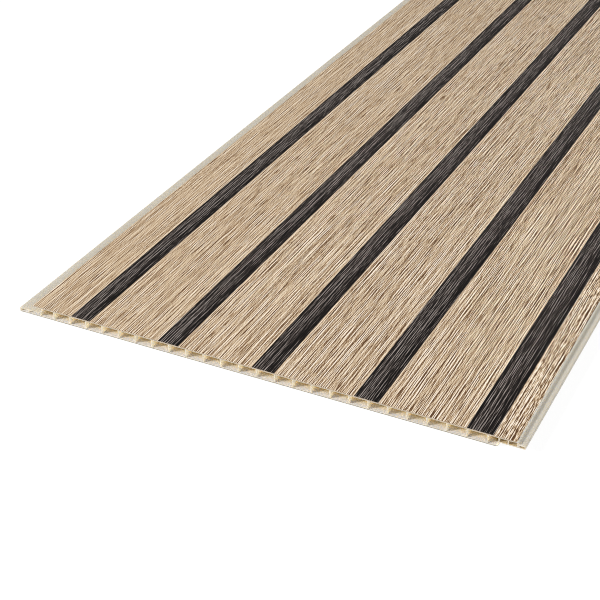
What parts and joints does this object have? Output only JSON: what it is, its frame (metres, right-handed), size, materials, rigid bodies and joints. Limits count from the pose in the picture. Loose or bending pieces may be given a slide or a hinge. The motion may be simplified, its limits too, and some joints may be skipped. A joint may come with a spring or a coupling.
{
  "type": "pvc wall panel",
  "caption": "Long hollow extruded plastic wall panel with internal webs, tongue and groove edges, a nailing flange and a printed wood-grain film with dark stripes.",
  "frame": {"origin": "middle of the panel's bounding box at the level of its back face, which lies down", "axes": "+X across the panel from the grooved edge to the tongued edge, +Y along its length, +Z out of the decorated face"},
  "size_m": [0.2608, 2.7, 0.0054],
  "materials": {
    "extruded_plastic": "cream extruded PVC, satin",
    "printed_film": "printed film, straight wood grain with dark lengthwise stripes, satin"
  },
  "bodies": {
    "root": {"panel_extrusion": "extruded_plastic", "decor_film": "printed_film"}
  },
  "joints": []
}
